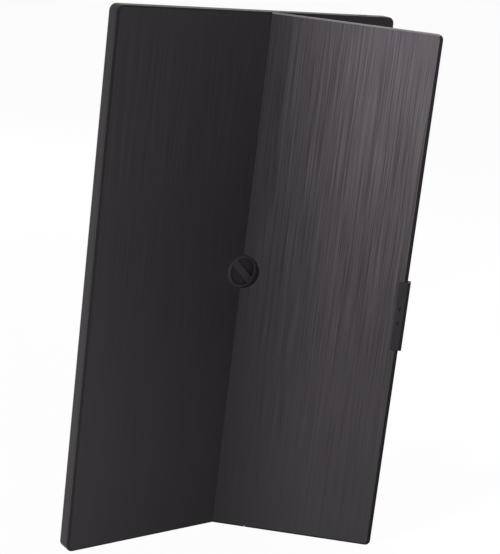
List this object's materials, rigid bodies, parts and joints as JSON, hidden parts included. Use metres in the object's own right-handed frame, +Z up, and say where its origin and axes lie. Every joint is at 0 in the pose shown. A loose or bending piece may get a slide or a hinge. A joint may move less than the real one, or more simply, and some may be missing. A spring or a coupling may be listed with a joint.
{
  "type": "portable monitor with cover",
  "caption": "Slim portable monitor standing on its short edge, with a brushed folding cover on its back, a round hub lock and a magnetic clip.",
  "frame": {"origin": "middle of the flat short edge that the monitor stands on, at half the monitor's thickness", "axes": "+Z up along the monitor's long side, +Y out of the screen, X across the monitor with the fold nearer +X"},
  "size_m": [0.236, 0.0917, 0.382],
  "materials": {
    "shell": "grey moulded plastic with a metallic coat",
    "bezel": "black plastic, satin",
    "screen": "dark screen, half-matt film",
    "film": "clear and milky sheets",
    "tray_metal": "bright sheet steel",
    "circuit_board": "green solder mask",
    "flex_film": "amber film",
    "connector": "ivory plastic",
    "steel": "plated steel",
    "magnet": "nickel plated magnet",
    "button": "black plastic",
    "lens": "clear light pipe",
    "cover_skin": "dark skin with a fine upright brushed grain, slightly glossy",
    "cover_rim": "dark turned edge, satin",
    "cover_sheet": "rolled aluminium sheet",
    "flap_sheet": "rolled steel sheet",
    "cover_lining": "short microfibre nap",
    "fold": "soft coated fabric with the skin's grain",
    "clip": "dark plastic, satin",
    "hub": "dark anodised look, satin",
    "nylon": "white nylon"
  },
  "bodies": {
    "monitor": {"rear_shell": "shell", "front_bezel": "bezel", "lcd_cell": "screen", "optical_films": "film", "light_guide": "film", "reflector_sheet": "film", "panel_tray": "tray_metal", "led_strip": "connector", "timing_board": "circuit_board", "source_flexes": "flex_film", "panel_screws": "steel", "main_board": "circuit_board", "shield_can": "tray_metal", "usb_port": "steel", "display_connector": "connector", "display_ribbon": "flex_film", "board_screws": "steel", "button_board": "circuit_board", "button_switch": "steel", "button_flex": "flex_film", "status_lens": "lens", "hub_socket": "steel", "keeper_plates": "steel", "latch_plate": "steel", "fixed_board": "cover_sheet", "fixed_skin": "cover_skin", "fixed_lining": "cover_lining", "fixed_rim": "cover_rim", "cover_magnets": "magnet", "hub_ring": "hub", "fold_strip": "fold"},
    "flap": {"flap_board": "flap_sheet", "flap_skin": "cover_skin", "flap_lining": "cover_lining", "flap_rim": "cover_rim", "latch_clip": "clip", "latch_magnets": "magnet"},
    "hub_lock": {"hub_knob": "hub", "hub_stud": "steel", "hub_washer": "nylon"},
    "button": {"power_button": "button"}
  },
  "joints": [
    {"name": "flap_fold", "type": "hinge", "parent": "monitor", "child": "flap", "pos_m": [0.005, -0.00575, 0.191], "axis": [0, 0, -1], "range_deg": [-42, 108], "deforming": ["fold_strip"]},
    {"name": "hub_turn", "type": "hinge", "parent": "monitor", "child": "hub_lock", "pos_m": [0.005, -0.00575, 0.196], "axis": [0, -1, 0], "range_deg": [0, 90]},
    {"name": "button_press", "type": "slide", "parent": "monitor", "child": "button", "axis": [0, -1, 0], "range_m": [0, 0.0004], "stiffness_N_per_m": 900}
  ]
}
